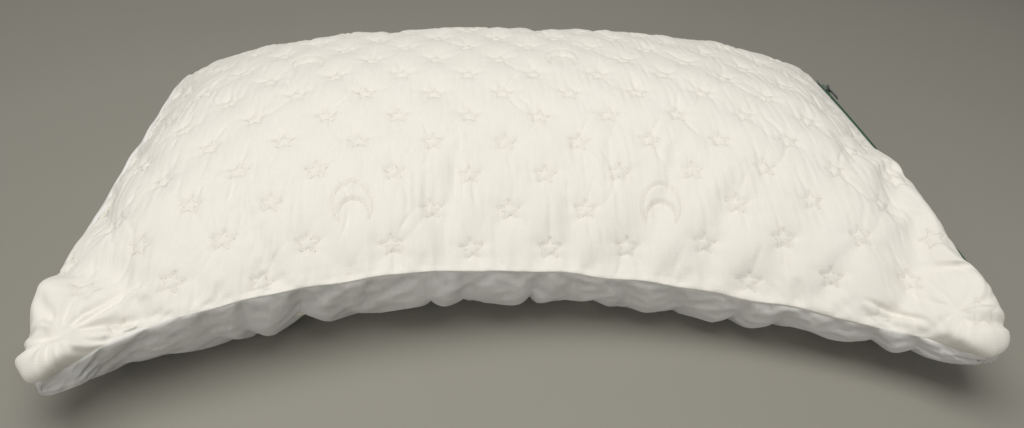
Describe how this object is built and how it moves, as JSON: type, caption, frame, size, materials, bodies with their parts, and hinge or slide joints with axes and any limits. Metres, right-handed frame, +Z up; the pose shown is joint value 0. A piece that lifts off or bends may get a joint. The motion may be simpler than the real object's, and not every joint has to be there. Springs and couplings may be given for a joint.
{
  "type": "bed pillow",
  "caption": "Curved bed pillow with a quilted top panel, a plush bottom panel, a zipped liner and a shredded foam filling.",
  "frame": {"origin": "centre of the footprint, on the surface that the pillow rests on", "axes": "+X along the pillow towards its zipped end, +Y from the hollow front edge to the back, +Z up"},
  "size_m": [0.7294, 0.5294, 0.135],
  "materials": {
    "quilted_knit": "soft quilted knit, cream white",
    "wadding_cloth": "white wadding and backing cloth",
    "plush": "short soft plush pile, white",
    "label_cloth": "smooth white woven tape",
    "green_tape": "woven dark green zip tape",
    "green_coil": "dark green nylon coil",
    "liner_cloth": "thin plain liner cloth",
    "liner_tape": "woven white zip tape",
    "liner_coil": "white nylon coil",
    "painted_metal": "grey painted die casting, satin",
    "stop_metal": "bent metal strip, satin",
    "shredded_foam": "cream shredded foam"
  },
  "bodies": {
    "pillow": {"top_panel_face": "quilted_knit", "top_panel_wadding": "wadding_cloth", "top_panel_backing": "wadding_cloth", "bottom_panel": "plush", "care_label": "label_cloth", "cover_zip_upper_tape": "green_tape", "cover_zip_lower_tape": "green_tape", "cover_zip_upper_coil": "green_coil", "cover_zip_lower_coil": "green_coil", "cover_zip_top_stop": "stop_metal", "cover_zip_bottom_stop": "stop_metal", "liner_top_panel": "liner_cloth", "liner_bottom_panel": "liner_cloth", "liner_zip_upper_tape": "liner_tape", "liner_zip_lower_tape": "liner_tape", "liner_zip_upper_coil": "liner_coil", "liner_zip_lower_coil": "liner_coil", "liner_zip_top_stop": "stop_metal", "liner_zip_bottom_stop": "stop_metal", "foam_fill": "shredded_foam"},
    "cover_slider": {"cover_zip_slider": "painted_metal"},
    "cover_pull": {"cover_zip_pull": "painted_metal"},
    "liner_slider": {"liner_zip_slider": "painted_metal"},
    "liner_pull": {"liner_zip_pull": "painted_metal"}
  },
  "joints": [
    {"name": "cover_zip_travel", "type": "hinge", "parent": "pillow", "child": "cover_slider", "pos_m": [1.07735, -0.03626, -0.95564], "axis": [0.8192, 0, 0.5735], "range_deg": [0, 13.64]},
    {"name": "cover_pull_swing", "type": "hinge", "parent": "cover_slider", "child": "cover_pull", "pos_m": [0.36423, 0.11353, 0.0744], "axis": [-0.5694, 0.1187, 0.8134], "range_deg": [0, 165]},
    {"name": "liner_zip_travel", "type": "hinge", "parent": "pillow", "child": "liner_slider", "pos_m": [1.06385, -0.03626, -0.95564], "axis": [0.8192, 0, 0.5735], "range_deg": [0, 10.37]},
    {"name": "liner_pull_swing", "type": "hinge", "parent": "liner_slider", "child": "liner_pull", "pos_m": [0.34791, 0.07773, 0.07703], "axis": [-0.5711, 0.0903, 0.8159], "range_deg": [0, 15]}
  ]
}
